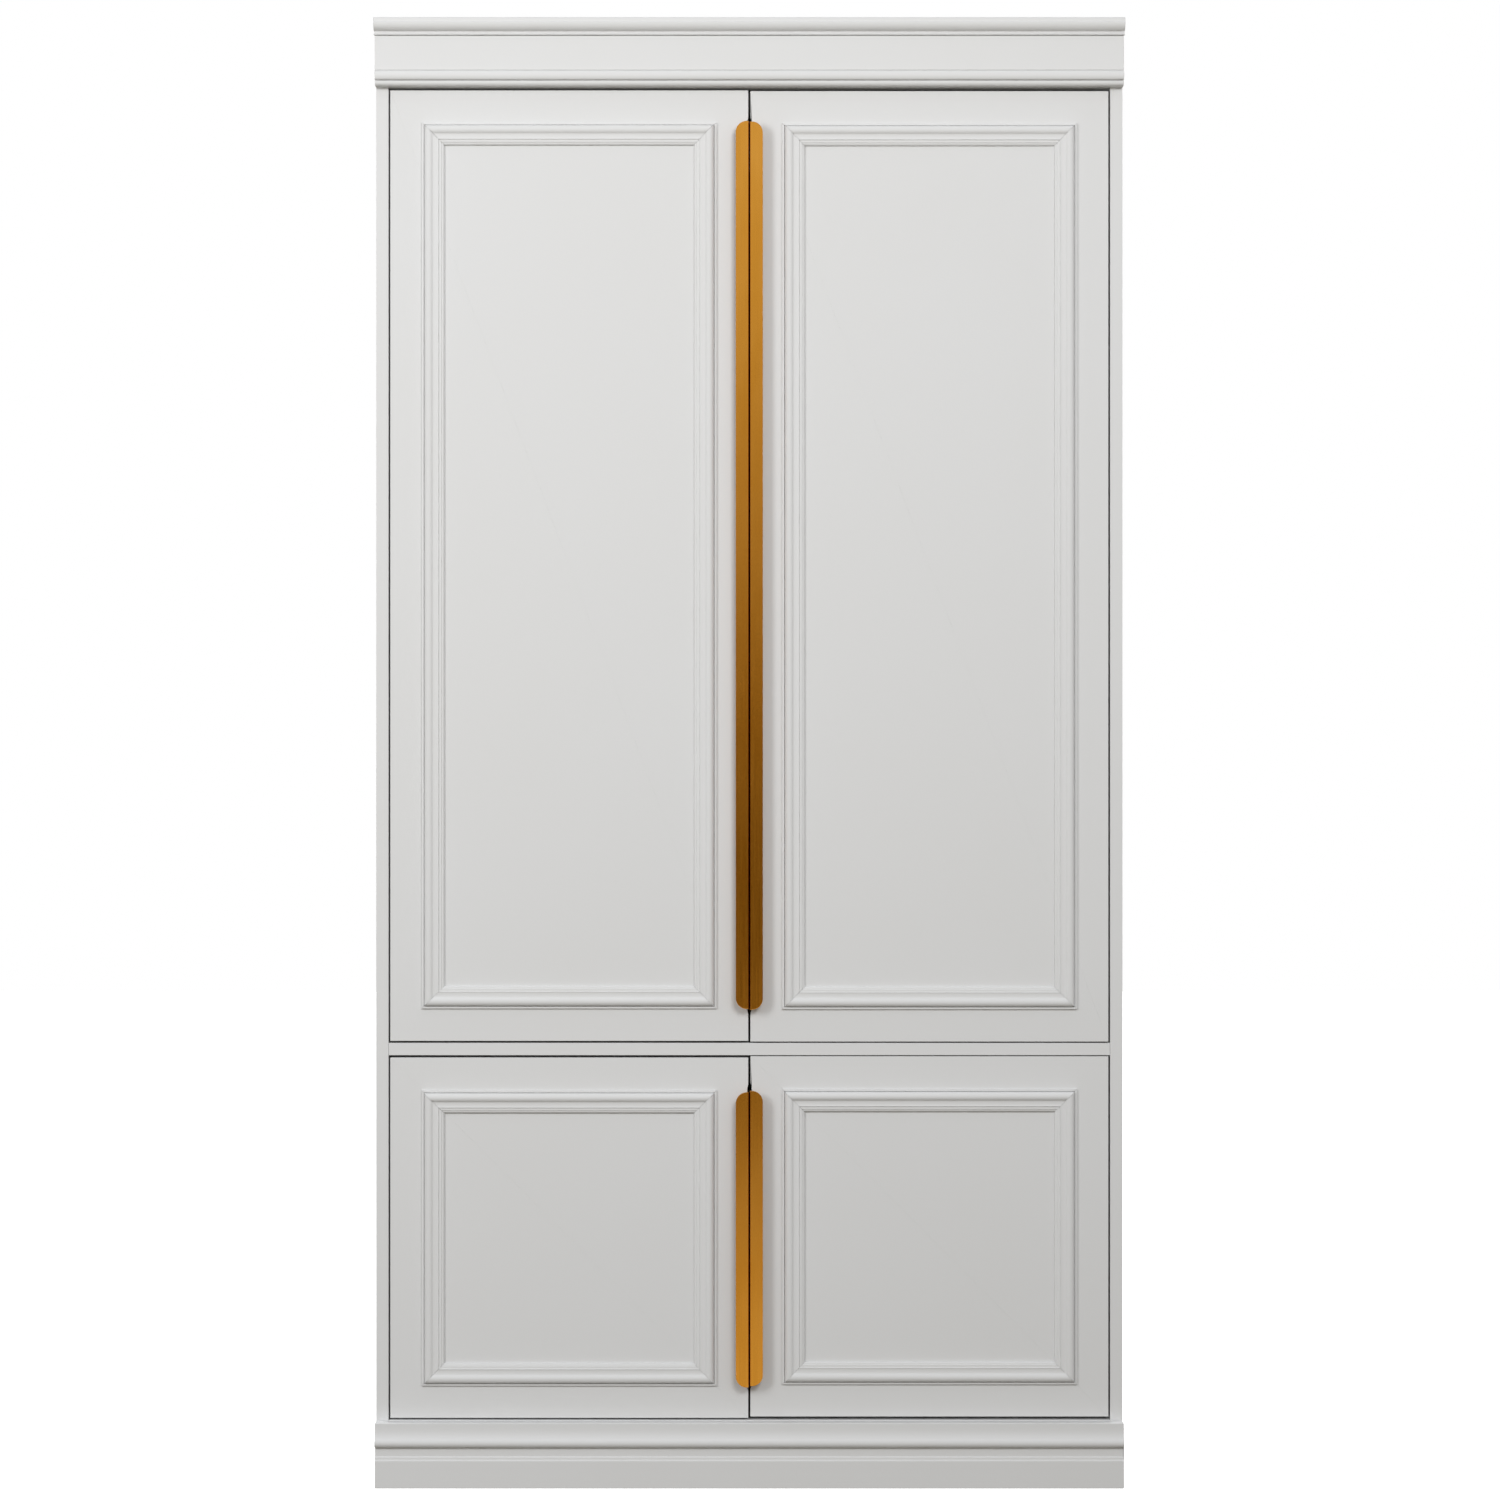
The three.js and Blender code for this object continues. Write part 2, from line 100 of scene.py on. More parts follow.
def shade(mesh):
    """Smooth where a face is narrow, flat where it is broad: width is area over the longest side."""
    mesh.set_sharp_from_angle(angle=math.radians(SHARP_TURN))
    starts = np.empty(len(mesh.polygons), dtype=np.int32)
    counts = np.empty(len(mesh.polygons), dtype=np.int32)
    areas = np.empty(len(mesh.polygons), dtype=np.float32)
    loops = np.empty(len(mesh.loops), dtype=np.int32)
    places = np.empty(len(mesh.vertices) * 3, dtype=np.float32)
    mesh.polygons.foreach_get("loop_start", starts)
    mesh.polygons.foreach_get("loop_total", counts)
    mesh.polygons.foreach_get("area", areas)
    mesh.loops.foreach_get("vertex_index", loops)
    mesh.vertices.foreach_get("co", places)
    places = places.reshape(-1, 3)
    following = np.arange(len(loops)) + 1
    following[starts + counts - 1] = starts
    sides = np.linalg.norm(places[loops[following]] - places[loops], axis=1)
    longest = np.maximum.reduceat(sides, starts)
    mesh.polygons.foreach_set("use_smooth", areas / longest < FLAT_WIDTH * MM)


def make_piece(name, points, faces):
    """Mesh object from points in millimetres, closed, with its faces turned outwards."""
    mesh = bpy.data.meshes.new(name)
    mesh.from_pydata((np.asarray(points).reshape(-1, 3) * MM).tolist(), [], faces)
    work = bmesh.new()
    work.from_mesh(mesh)
    bmesh.ops.remove_doubles(work, verts=work.verts, dist=5e-6)
    bmesh.ops.recalc_face_normals(work, faces=work.faces)
    work.to_mesh(mesh)
    work.free()
    shade(mesh)
    piece = bpy.data.objects.new(name, mesh)
    bpy.context.scene.collection.objects.link(piece)
    return piece


def dress(piece, material, body, slot, *replaced):
    """Gives a piece its finish and the body it rides on, and hides the CAD nodes it stands for; slot is
    not used.
    """
    piece.data.materials.clear()
    piece.data.materials.append(material)
    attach(piece, body)
    if replaced:
        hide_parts(*replaced)
    return piece


print("a grid of 3 rings of 8 points has", len(grid_faces(3, 8)), "faces")

# %% [markdown]
# ## Sections and how they are carried along
# Boards, mouldings, doors and handles are all one idea: a section carried along a straight line.
# Real edges are never sharp, because sandpaper and paint round them. A bevel modifier could do it
# afterwards, but it stumbles where a fine step meets a curve, so the rounding is part of the shape:
# the section's corners are rounded first, and the section then shrinks a little at each end.

# %% Section helpers
def arc(centre, radii, start, end, steps=12):
    """Points on an ellipse: centre plus (radius times cosine, radius times sine), angles in degrees."""
    angle = np.radians(np.linspace(start, end, steps + 1))
    return np.stack([centre[0] + radii[0] * np.cos(angle), centre[1] + radii[1] * np.sin(angle)], axis=1)


def section(*stretches):
    """One closed outline from points and curves laid end to end, each point once."""
    outline = np.concatenate([np.atleast_2d(np.asarray(part, dtype=float)) for part in stretches])
    step = np.linalg.norm(outline - np.roll(outline, 1, axis=0), axis=1)
    return outline[step > 1e-6]


def softened(outline, radius, steps=4, least_turn=25.0):
    """Rounds sharp corners. Near a corner P the line is (1-t)^2 A + 2t(1-t) P + t^2 B, where A and B
    lie on its two sides, the radius away but never past the middle of a side."""
    before = np.roll(outline, 1, axis=0) - outline
    after = np.roll(outline, -1, axis=0) - outline
    length_before = np.linalg.norm(before, axis=1)
    length_after = np.linalg.norm(after, axis=1)
    turn = np.arccos(np.clip(-(before * after).sum(1) / (length_before * length_after), -1, 1))
    sharp = turn > np.radians(least_turn)
    reach = np.minimum(radius, 0.45 * np.minimum(length_before, length_after)) * sharp
    a = outline + before * (reach / length_before)[:, None]
    b = outline + after * (reach / length_after)[:, None]
    t = np.linspace(0, 1, steps + 1)[None, :, None]
    curve = (1 - t) ** 2 * a[:, None] + 2 * t * (1 - t) * outline[:, None] + t**2 * b[:, None]
    keep = sharp[:, None] | (np.arange(steps + 1) == 0)[None, :]
    return curve[keep]


def inward(outline):
    """Unit normals that point into the outline: its tangent turned a quarter, by its winding."""
    tangent = np.roll(outline, -1, axis=0) - np.roll(outline, 1, axis=0)
    tangent /= np.linalg.norm(tangent, axis=1)[:, None]
    x, y = outline.T
    area = np.sum(x * np.roll(y, -1) - np.roll(x, -1) * y)
    return np.sign(area) * np.stack([-tangent[:, 1], tangent[:, 0]], axis=1)


def carried(outline, low_end, high_end, ease=0.0, steps=3, strip=False):
    """Section carried from low_end to high_end, each a number or one value per point of the outline.
    Within the ease of an end the section shrinks by ease times (1 - cos a) while it advances by ease
    times sin a, which rounds the end's rim. Returns points (across, up, along) and faces. The ends
    are closed by one face, or by a strip of quads where the section is a folded sheet."""
    count = len(outline)
    a = np.linspace(0, np.pi / 2, steps + 1) if ease else np.zeros(1)
    shrink = ease * (1 - np.cos(a))
    back = ease * (1 - np.sin(a))
    if ease:  # one plain ring just inside each end keeps the rim's shading at the rim
        shrink = np.concatenate([[0], shrink])
        back = np.concatenate([[2.5 * ease], back])
    normal = inward(outline)
    low = np.broadcast_to(np.asarray(low_end, dtype=float), count)
    high = np.broadcast_to(np.asarray(high_end, dtype=float), count)
    shrinks = np.concatenate([shrink[::-1], shrink])
    along = np.concatenate([low[None] + back[::-1, None], high[None] - back[:, None]])
    rings = outline[None] + shrinks[:, None, None] * normal[None]
    points = np.concatenate([rings, along[..., None]], axis=2)
    faces = grid_faces(len(shrinks), count)
    last = (len(shrinks) - 1) * count
    if strip:
        i = np.arange(count // 2 - 1)
        ends = np.stack([i, i + 1, count - 2 - i, count - 1 - i], axis=1)
        faces += ends.tolist() + (ends + last).tolist()
    else:
        faces += [list(range(count)), list(range(last, last + count))]
    return points.reshape(-1, 3), faces


def rectangle(low, high):
    """The four corners of a rectangle, anticlockwise."""
    return np.array([low, (high[0], low[1]), high, (low[0], high[1])], dtype=float)


print("a softened rectangle has", len(softened(rectangle((0, 0), (18, 9)), 1)), "points")

# %% [markdown]
# ## Finishes from nodes
# Every finish is made from noises on the object's own coordinates, mapped to its colour, its
# roughness or a bump. An image could be used instead, but it has seams and one fixed size, and
# noises have neither. These helpers keep each finish down to a few readable lines.

# %% Node helpers
def new_material(name, base, roughness, metallic=0.0):
    """A material with its shader's plain numbers set, and the node tree to add to."""
    material = bpy.data.materials.new(name)
    material.use_nodes = True
    shader = material.node_tree.nodes["Principled BSDF"]
    shader.inputs["Base Color"].default_value = (*base, 1)
    shader.inputs["Roughness"].default_value = roughness
    shader.inputs["Metallic"].default_value = metallic
    return material, material.node_tree, shader


def add_node(tree, kind, settings=(), **inputs):
    """A node with its settings and its inputs given by name; an input may be a value or a socket."""
    node = tree.nodes.new(kind)
    for key, value in dict(settings).items():
        setattr(node, key, value)
    for key, value in inputs.items():
        socket = node.inputs[key.replace("_", " ")]
        if isinstance(value, bpy.types.NodeSocket):
            tree.links.new(value, socket)
        else:
            socket.default_value = value
    return node


def place(tree, scale=(1, 1, 1)):
    """Object coordinates, stretched along each axis by the scale."""
    coordinates = add_node(tree, "ShaderNodeTexCoord").outputs["Object"]
    return add_node(tree, "ShaderNodeMapping", Vector=coordinates, Scale=scale).outputs["Vector"]


def noise(tree, vector, scale, detail=2.0, roughness=0.5):
    """Fractal noise, 0 to 1, with a grain of about 1 / scale metres."""
    node = add_node(
        tree, "ShaderNodeTexNoise", Vector=vector, Scale=scale, Detail=detail, Roughness=roughness
    )
    return node.outputs["Fac"]


def spread(tree, value, low, high, start=0.3, end=0.7):
    """Maps the usual span of a noise to the span from low to high."""
    node = add_node(tree, "ShaderNodeMapRange", Value=value)
    node.inputs["From Min"].default_value = start
    node.inputs["From Max"].default_value = end
    node.inputs["To Min"].default_value = low
    node.inputs["To Max"].default_value = high
    return node.outputs["Result"]


def blend_colours(tree, factor, first, second):
    """Mixes two colours by a factor; a colour may be three numbers or a socket."""
    node = add_node(tree, "ShaderNodeMix", {"data_type": "RGBA"})
    colour_a, colour_b = [s for s in node.inputs if s.type == "RGBA"]
    tree.links.new(factor, node.inputs["Factor"])
    for socket, colour in ((colour_a, first), (colour_b, second)):
        if isinstance(colour, bpy.types.NodeSocket):
            tree.links.new(colour, socket)
        else:
            socket.default_value = (*colour, 1)
    return next(s for s in node.outputs if s.type == "RGBA")


def bump(tree, height, distance, under=None):
    """Bump of the given depth in metres, laid over another one if there is one."""
    inputs = {"Height": height, "Distance": distance, "Strength": 1.0}
    if under:
        inputs["Normal"] = under
    return add_node(tree, "ShaderNodeBump", **inputs).outputs["Normal"]


print("node helpers ready")

# %% [markdown]
# ## Lacquer
# The armoire is sprayed with a pale, near-white satin lacquer over board. Sprayed lacquer is never a
# flat colour: it has a very fine orange-peel skin and a slow waviness, its shine varies from place to
# place, and dust and handling warm it in broad soft patches. Noises of four sizes carry those.

# %% Lacquer
LACQUER = (0.745, 0.750, 0.754)
LACQUER_WARM = (0.738, 0.741, 0.741)


def sprayed_lacquer():
    """Satin paint: broad warm patches, finer changes of shine, orange peel and slow waves."""
    material, tree, shader = new_material("sprayed_lacquer", LACQUER, 0.4)
    where = place(tree)
    patches = noise(tree, where, 2.6, detail=3)
    colour = blend_colours(tree, spread(tree, patches, 0.0, 1.0), LACQUER, LACQUER_WARM)
    tree.links.new(colour, shader.inputs["Base Color"])
    tree.links.new(spread(tree, noise(tree, where, 38, detail=4), 0.36, 0.46), shader.inputs["Roughness"])
    peel = bump(tree, noise(tree, where, 420, detail=2), 0.00006)
    waves = bump(tree, noise(tree, where, 28, detail=1), 0.00004, under=peel)
    tree.links.new(waves, shader.inputs["Normal"])
    shader.inputs["Specular IOR Level"].default_value = 0.45
    return material


lacquer = sprayed_lacquer()
print("made", lacquer.name, "with", len(lacquer.node_tree.nodes), "nodes")

# %% [markdown]
# ## Boards
# The carcass and shelves are 18 mm board with eased edges. Each is its own rectangle, softened at the
# corners and carried along its height, so all twelve edges come out rounded by about half a millimetre.

# %% Boards
EASE = 0.45


def eased_board(name, material, slot, ease=EASE):
    """A board in the place of a CAD node: its plan outline carried from its foot to its top."""
    low, high = corners(name)
    plan = softened(rectangle(low[:2], high[:2]), ease)
    points, faces = carried(plan, low[2], high[2], ease=ease)
    return dress(make_piece(f"{name}_eased", points, faces), material, "carcass", slot, name)


boards = ["side_panel_left", "side_panel_right", "bottom_panel", "middle_panel", "top_panel"]
boards += ["header_rail", "shelf_lower_1"] + [f"shelf_upper_{i}" for i in (1, 2, 3)]
for board_name in boards:
    eased_board(board_name, lacquer, "lacquer")
print("boards:", len(boards))

# %% [markdown]
# ## Cornice and plinth
# The cornice is a flat fascia between two run mouldings, and the plinth is a skirting with a nose
# under a cove. All are cut square at the ends, level with the sides or a millimetre past them. Each
# moulded section is given as how far it stands in front of the carcass and how high it is, and is
# carried from end to end.

# %% Cornice and plinth
TRIM_EASE = 0.8  # at the cut ends


def run_trim(node, outline, radius=0.7):
    """A horizontal moulding in the place of a CAD node, from its section (proud, height)."""
    low, high = corners(node)
    points, faces = carried(softened(outline, radius), low[0], high[0], ease=TRIM_EASE)
    across, up, along = points.T
    placed = np.stack([along, high[1] - across, low[2] + up], axis=1)
    return dress(make_piece(f"{node}_run", placed, faces), lacquer, "carcass", "lacquer", node)


def top_moulding_section(height=24.5, nose=29.7):
    """A sloped fillet, a quarter-round out to the nose, and a square band with a rounded top."""
    foot, reach = nose - 10.7, 10.7
    band = nose - 1.5
    return section(
        (0, 0),
        (foot + 2.7, 0),
        (foot + 2.7, 1),
        (foot, 4),
        arc((foot, 17), (reach, 11.5), -90, 0, 20),
        (band, 18),
        arc((band - 2.5, height - 2.5), (2.5, 2.5), 0, 90, 8),
        (0, height),
    )


def bottom_moulding_section(height=21.9):
    """A small bead rounded under, and a larger half-round bead above it."""
    half = (height - 0.8 - 8) / 2
    return section(
        (0, 0),
        arc((12.3, 5), (5, 5), -90, 0, 10),
        (17.3, 6.9),
        (15.0, 7.4),
        (15.0, 8),
        arc((18.3, 8 + half), (3.6, half), -90, 90, 18),
        (18.3, height),
        (0, height),
    )


def plinth_section(height=95.0, foot=19.7):
    """Two small steps, a flat, a rounded nose, and a cove that sweeps up to the top band."""
    nose_middle, nose_radius = 66.5, 7.5
    nose_centre = foot + 4.5 - nose_radius
    top = foot - 2
    nose = arc((nose_centre, nose_middle), (nose_radius, nose_radius), -90, 45, 16)
    start = nose[-1]
    t = np.linspace(0, 1, 15)[1:, None]
    bend = np.array([top, start[1] + start[0] - top])
    cove = (1 - t) ** 2 * start + 2 * t * (1 - t) * bend + t**2 * np.array([top, 88.0])
    return section(
        (0, 0),
        (foot, 0),
        (foot, 40.5),
        (foot - 1.75, 41.5),
        (foot - 1.75, 45.2),
        (foot - 3.5, 46.2),
        (foot - 3.5, nose_middle - nose_radius),
        nose,
        cove,
        (top, height),
        (0, height),
    )


eased_board("cornice_fascia", lacquer, "lacquer", ease=1.1)
run_trim("cornice_top_moulding", top_moulding_section())
run_trim("cornice_bottom_moulding", bottom_moulding_section())
run_trim("plinth_board", plinth_section(), radius=1.0)
print("cornice and plinth run")

# %% [markdown]
# ## Door panels
# A door is a flat painted slab. Its meeting edge has a shallow rebate for the handle, which runs out
# in a short taper past each end, and its back has a round bore for each hinge cup. A boolean could
# cut the bores, but it leaves slivers across the broad front. So the slab is its front outline
# carried through its thickness and left open at the back, the back is filled round the circles, and
# each circle is carried inwards to the bore's floor.

# %% Door panels
REBATE_DEPTH = 1.6
REBATE_PAST_END = 2.0
REBATE_RUN_OUT = 8.0
BORE_RADIUS = 17.8
BORE_BELOW_CUP = 0.3
BORE_POINTS = 64  # round its circle
SLAB_SOFTENING = 0.5


def together(shapes):
    """Several shapes as one: their points end to end, their faces counted on from one to the next."""
    firsts = np.cumsum([0] + [len(points) for points, _ in shapes])
    faces = [[first + i for i in face] for first, (_, own) in zip(firsts, shapes) for face in own]
    return np.concatenate([points for points, _ in shapes]), faces


def filled(rings):
    """A flat face between an outer ring and the holes in it, as triangles on the rings' points."""
    loops = [[Vector((x, 0, z)) for x, _, z in ring] for ring in rings]
    return np.concatenate(rings), [list(face) for face in tessellate_polygon(loops)]


def bore(cup_node, door_back):
    """A round bore for a hinge cup: its wall from the door's back to its floor, and its floor."""
    low, high = corners(cup_node)
    middle = (low + high) / 2
    circle = arc((middle[0], middle[2]), (BORE_RADIUS, BORE_RADIUS), 0, 360, BORE_POINTS)[:-1]
    points, faces = carried(circle, low[1] - BORE_BELOW_CUP, door_back)
    return points[:, [0, 2, 1]], faces[:-1]  # the last face would close its mouth


def door_slab(storey, side):
    """The door's front outline, with its rebate, carried through its thickness and bored."""
    node = f"door_{storey}_{side}"
    low, high = corners(node)
    handle_low, handle_high = corners(f"handle_{storey}_{side}")
    towards = SIDES[side]
    hinge_x, meet_x = (low[0], high[0])[::towards]
    rebate_x = meet_x - towards * REBATE_DEPTH
    straight = np.array([handle_low[2] - REBATE_PAST_END, handle_high[2] + REBATE_PAST_END])
    taper = straight + np.array([-REBATE_RUN_OUT, REBATE_RUN_OUT])
    outline = section(
        (hinge_x, low[2]),
        (meet_x, low[2]),
        (meet_x, taper[0]),
        (rebate_x, straight[0]),
        (rebate_x, straight[1]),
        (meet_x, taper[1]),
        (meet_x, high[2]),
        (hinge_x, high[2]),
    )
    outline = softened(outline, SLAB_SOFTENING)
    points, faces = carried(outline, low[1], high[1], ease=EASE)
    body = points[:, [0, 2, 1]], faces[:-1]
    cups = sorted(name for name in nodes if name.startswith(f"hinge_cup_{storey}_{side}"))
    bores = [bore(cup, high[1]) for cup in cups]
    mouths = [own[len(own) // 2 :] for own, _ in bores]
    back = filled([body[0][-len(outline) :], *mouths])
    slab = make_piece(f"{node}_slab", *together([body, back, *bores]))
    return dress(slab, lacquer, f"door_{storey}_{side}", "lacquer", node)


for storey, side in DOORS:
    door_slab(storey, side)
print("doors bored:", sum(name.startswith("hinge_cup") for name in nodes), "bores")

# %% [markdown]
# ## Door mouldings
# A mitred frame of four strips is glued to each door. The section runs, from the outer edge inwards:
# a flat lip, a quirk, which is a narrow groove that draws a dark line, a bold half-round, a shallow
# cove, two fillets that step down, and a bevel. Cutting a mitre is easy on a carried section: each
# point of the section stops short of the corner by its own distance from the outer edge, which is a
# 45 degree cut. A right door is a left one turned over, so its strip named top is at its bottom.

# %% Door mouldings
STRIP_OFF_DOOR = 0.3  # the CAD strips stand this far off the door
STRIP_SOFTENING = 0.35


def strip_section(height=9.5, width=33.0):
    """Moulding section (distance from the frame's outer edge, height off the door)."""
    outline = section(
        (0, 0),
        (0, 3),
        (3.0, 3),
        (3.3, 1.0),
        (4.0, 1.0),
        arc((10.5, 3.8), (6.5, height - 3.8), 180, 35, 22),
        arc((20.6, 7.0), (4.4, 1.0), 190, 350, 14),
        (25.3, 5.2),
        (29.2, 5.2),
        (29.5, 4.1),
        (31.2, 4.1),
        (width, 2.6),
        (width, 0),
    )
    outline[:, 1] += STRIP_OFF_DOOR * (outline[:, 1] > 0)
    return softened(outline, STRIP_SOFTENING, steps=3)


def moulding_strip(storey, side, place_name):
    """One strip: its section carried between two mitres, laid along its side of the frame."""
    node = f"moulding_{storey}_{side}_{place_name}"
    low, high = corners(node)
    outline = strip_section()
    upright = place_name.endswith("side")
    axis = 2 if upright else 0
    points, faces = carried(outline, low[axis] + outline[:, 0], high[axis] - outline[:, 0])
    across, up, along = points.T
    door_face = corners(f"door_{storey}_{side}")[0][1]
    if upright:
        outer_is_low = (place_name == "hinge_side") == (SIDES[side] > 0)
        x = low[0] + across if outer_is_low else high[0] - across
        placed = np.stack([x, door_face - up, along], axis=1)
    else:
        z = low[2] + across if place_name == "bottom" else high[2] - across
        if side == "right":
            z = high[2] - across if place_name == "bottom" else low[2] + across
        placed = np.stack([along, door_face - up, z], axis=1)
    piece = make_piece(f"{node}_strip", placed, faces)
    return dress(piece, lacquer, f"door_{storey}_{side}", "lacquer", node)


for storey, side in DOORS:
    for place_name in ("bottom", "hinge_side", "top", "handle_side"):
        moulding_strip(storey, side, place_name)
print("mouldings:", len(DOORS) * 4)

# %% [markdown]
# ## Brushed gold
# The handles are folded strips with a satin, brushed gold finish. Brushing leaves hair-fine lines
# along the length, so a noise is squeezed hard across the strip and stretched along it, and drives
# both the roughness and a shallow bump. A slower noise clouds the colour softly.

# %% Brushed gold
GOLD = (0.70, 0.31, 0.035)
GOLD_PALE = (0.78, 0.37, 0.06)


def brushed_gold():
    """Satin metal: hair lines along the strip in shine and bump, soft clouds in colour."""
    material, tree, shader = new_material("brushed_gold", GOLD, 0.3, metallic=1.0)
    hair = noise(tree, place(tree, (1800, 1800, 9)), 1.0, detail=3, roughness=0.6)
    cloud = noise(tree, place(tree, (26, 26, 7)), 1.0, detail=4)
    colour = blend_colours(tree, spread(tree, cloud, 0.1, 0.9), GOLD, GOLD_PALE)
    tree.links.new(colour, shader.inputs["Base Color"])
    tree.links.new(spread(tree, hair, 0.12, 0.22), shader.inputs["Roughness"])
    tree.links.new(bump(tree, hair, 0.00003), shader.inputs["Normal"])
    return material


gold = brushed_gold()
print("made", gold.name, "with", len(gold.node_tree.nodes), "nodes")

# %% [markdown]
# ## Handles
# Each handle is one strip of 2 mm metal folded twice: a flange over the door's face, a leg in the
# rebate, and a tab screwed to the door's back. The section is the fold's outer line and its inner
# line joined at the two free edges. The flange's outer corners are quarter circles: the closer a
# point lies to the free edge, the sooner it stops, by R minus the root of R squared minus the
# distance into the corner squared.

# %% Handles
METAL = 2.0
BEND = 0.5  # inner radius of a fold
FLANGE_CORNER = 16.0
HANDLE_SOFTENING = 0.35


def handle_section(edge, leg, front, back, towards):
    """Folded sheet: outer line from the flange's free edge round both bends, inner line back."""
    outer = BEND + METAL
    across = np.linspace(0, 1, 26)[:, None]
    # Worked out with the leg on the high side, then mirrored for the other hand.
    free, stem = edge * towards, leg * towards
    flange_out = (1 - across) * [free, front] + across * [stem - outer, front]
    flange_in = (1 - across) * [free, front + METAL] + across * [stem - outer, front + METAL]
    tab_out = flange_out[::-1] * [1, 0] + [0, back]
    tab_in = flange_in[::-1] * [1, 0] + [0, back - METAL]
    top_out = arc((stem - outer, front + outer), (outer, outer), -90, 0, 8)[1:]
    top_in = arc((stem - outer, front + outer), (BEND, BEND), -90, 0, 8)[1:]
    low_out = arc((stem - outer, back - outer), (outer, outer), 0, 90, 8)[:-1]
    low_in = arc((stem - outer, back - outer), (BEND, BEND), 0, 90, 8)[:-1]
    outside = np.concatenate([flange_out, top_out, low_out, tab_out])
    inside = np.concatenate([flange_in, top_in, low_in, tab_in])
    return np.concatenate([outside, inside[::-1]]), free


def handle(storey, side):
    """The folded section carried along the door, its free edge stopping short in quarter circles."""
    node = f"handle_{storey}_{side}"
    low, high = corners(node)
    towards = SIDES[side]
    edge, leg = (low[0], high[0])[::towards]
    outline, free = handle_section(edge, leg, low[1], high[1], towards)
    outline = softened(outline, HANDLE_SOFTENING, steps=3, least_turn=60)
    into = np.clip(FLANGE_CORNER - (outline[:, 0] - free), 0, FLANGE_CORNER)
    short = FLANGE_CORNER - np.sqrt(FLANGE_CORNER**2 - into**2)
    points, faces = carried(outline, low[2] + short, high[2] - short, ease=HANDLE_SOFTENING, strip=True)
    points[:, 0] *= towards
    piece = make_piece(f"{node}_folded", points, faces)
    return dress(piece, gold, f"door_{storey}_{side}", "gold", node)


for storey, side in DOORS:
    handle(storey, side)
print("handles folded:", len(DOORS))

# %% [markdown]
# ## Back panels
# The back panels are thin board: lacquered towards the shelves and left as raw brown fibre towards
# the wall, which is how they are bought. Two materials would need the faces picked out. One material
# does both by looking at how deep in the board a point lies.

# %% Back panels
FIBRE = (0.30, 0.185, 0.095)
FIBRE_DARK = (0.20, 0.115, 0.055)
FIBRE_FLECK = (0.42, 0.29, 0.17)


def fibre_back(split_y):
    """Lacquer in front of the plane split_y, raw fibre board behind it."""
    material, tree, shader = new_material("fibre_back", FIBRE, 0.7)
    where = place(tree)
    fibres = noise(tree, place(tree, (90, 90, 260)), 1.0, detail=6, roughness=0.65)
    flecks = noise(tree, where, 700, detail=3, roughness=0.7)
    raw = blend_colours(tree, spread(tree, fibres, 0, 1), FIBRE_DARK, FIBRE)
    raw = blend_colours(tree, spread(tree, flecks, 0, 0.5, 0.55, 0.75), raw, FIBRE_FLECK)
    depth = add_node(tree, "ShaderNodeSeparateXYZ", Vector=where).outputs["Y"]
    outside = add_node(tree, "ShaderNodeMath", {"operation": "GREATER_THAN"})
    tree.links.new(depth, outside.inputs[0])
    outside.inputs[1].default_value = split_y
    colour = blend_colours(tree, outside.outputs[0], LACQUER, raw)
    tree.links.new(colour, shader.inputs["Base Color"])
    tree.links.new(spread(tree, outside.outputs[0], 0.42, 0.78, 0, 1), shader.inputs["Roughness"])
    tree.links.new(bump(tree, fibres, 0.0001), shader.inputs["Normal"])
    return material


back_low, back_high = corners("back_panel_upper")
fibre = fibre_back((back_low[1] + back_high[1]) / 2 * MM)
for name in ("back_panel_upper", "back_panel_lower"):
    eased_board(name, fibre, "back_panel")
print("back panels", round(back_high[1] - back_low[1], 1), "mm thick")

# %% [markdown]
# ## Hinges
# The hinges are pressed steel with a nickel plate, hazed a little by handling. Their CAD solids
# already have the right shape, so they are kept, and get a finish and slightly rounded edges. A weld
# comes before the bevel, because a bevel needs faces that share their edges.

# %% Nickel and hinges
NICKEL = (0.56, 0.55, 0.52)


def nickel_plate():
    """Plated steel: a haze that varies its shine, and a very fine grain."""
    material, tree, shader = new_material("nickel_plate", NICKEL, 0.28, metallic=1.0)
    where = place(tree)
    haze = noise(tree, where, 160, detail=4)
    tree.links.new(spread(tree, haze, 0.22, 0.36), shader.inputs["Roughness"])
    tree.links.new(bump(tree, noise(tree, where, 900, detail=2), 0.00002), shader.inputs["Normal"])
    return material


nickel = nickel_plate()
hinge_nodes = [name for name in nodes if name.startswith("hinge_")]
for name in hinge_nodes:
    part = nodes[name]
    part.data.materials.clear()
    part.data.materials.append(nickel)
    weld = part.modifiers.new("weld", "WELD")
    weld.merge_threshold = 1e-6  # metres
    rounding = part.modifiers.new("rounded edges", "BEVEL")
    rounding.width = 0.25 * MM
    rounding.segments = 2
    rounding.limit_method = "ANGLE"
    rounding.angle_limit = math.radians(40)
print("hinge parts:", len(hinge_nodes))

# %% [markdown]
# ## Screws
# Small pan-head screws hold the hinges and the handles. They are seen only when a door is open, but
# then they tell the eye how big everything is. A screw could be a cylinder with a boolean cross. Here
# one polar grid gives the dome, the cross recess and the rim together, and the same head is placed
# many times: turned so that its axis points where it should, with its cross at its own angle, as
# screws always end up.

# %% Screw heads
SCREW_RINGS = 13
SCREW_SPOKES = 40


